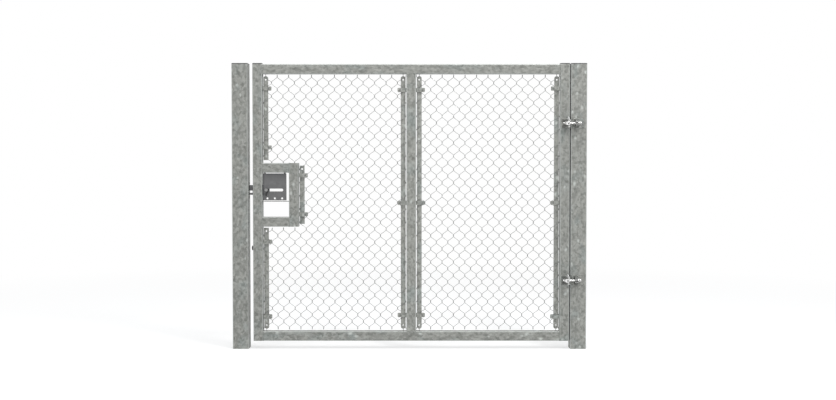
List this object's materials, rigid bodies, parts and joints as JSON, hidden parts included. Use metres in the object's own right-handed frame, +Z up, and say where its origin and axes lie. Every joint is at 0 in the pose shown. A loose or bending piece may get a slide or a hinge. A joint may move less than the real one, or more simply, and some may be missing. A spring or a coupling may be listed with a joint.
{
  "type": "chain link gate",
  "caption": "Single-leaf swing gate of square galvanised tube with chain link mesh, hung between two square posts, with a slide bolt in a lock box.",
  "frame": {"origin": "centre of the hinge post's foot, at ground level", "axes": "+X along the fence from the latch post towards the hinge post, -Y towards the side with the hinges and the knob, +Z up"},
  "size_m": [2.2, 0.1616, 1.775],
  "materials": {
    "galvanised": "hot-dip galvanised, mottled with spangles",
    "mesh_wire": "galvanised wire",
    "stainless": "bright stainless steel",
    "dark_metal": "dark grey powder coat",
    "black_plastic": "moulded black plastic",
    "rubber": "matte black rubber"
  },
  "bodies": {
    "posts": {"hinge_post": "galvanised", "hinge_post_cap": "black_plastic", "latch_post": "galvanised", "latch_post_cap": "black_plastic", "keeper": "dark_metal", "upper_hinge_post_bracket": "galvanised", "upper_hinge_rod": "stainless", "lower_hinge_post_bracket": "galvanised", "lower_hinge_rod": "stainless"},
    "leaf": {"hinge_stile": "galvanised", "hinge_stile_cap": "black_plastic", "latch_stile": "galvanised", "latch_stile_cap": "black_plastic", "top_rail": "galvanised", "bottom_rail": "galvanised", "mullion": "galvanised", "lock_box_top": "galvanised", "lock_box_bottom": "galvanised", "lock_box_side": "galvanised", "tension_bar_above_lock": "galvanised", "tension_bar_below_lock": "galvanised", "tension_bar_lock_box": "galvanised", "tension_bar_mullion_left": "galvanised", "tension_bar_mullion_right": "galvanised", "tension_bar_hinge_side": "galvanised", "latch_stile_hooks": "galvanised", "lock_box_hooks": "galvanised", "mullion_hooks": "galvanised", "hinge_stile_hooks": "galvanised", "mesh_above_lock": "mesh_wire", "mesh_below_lock": "mesh_wire", "mesh_left_bay": "mesh_wire", "mesh_right_bay_inner": "mesh_wire", "mesh_right_bay_outer": "mesh_wire", "lock_plate": "dark_metal", "lock_shelf": "dark_metal", "bolt_guides": "dark_metal", "rubber_buffer": "rubber", "upper_hinge_leaf_bracket": "galvanised", "upper_hinge_pin": "stainless", "lower_hinge_leaf_bracket": "galvanised", "lower_hinge_pin": "stainless"},
    "bolt": {"bolt_bar": "dark_metal", "bolt_knob": "stainless"}
  },
  "joints": [
    {"name": "leaf_swing", "type": "hinge", "parent": "posts", "child": "leaf", "pos_m": [-0.071, -0.09, 0.91], "axis": [0, 0, 1], "range_deg": [0, 180]},
    {"name": "bolt_slide", "type": "slide", "parent": "leaf", "child": "bolt", "axis": [1, 0, 0], "range_m": [0, 0.09]}
  ]
}
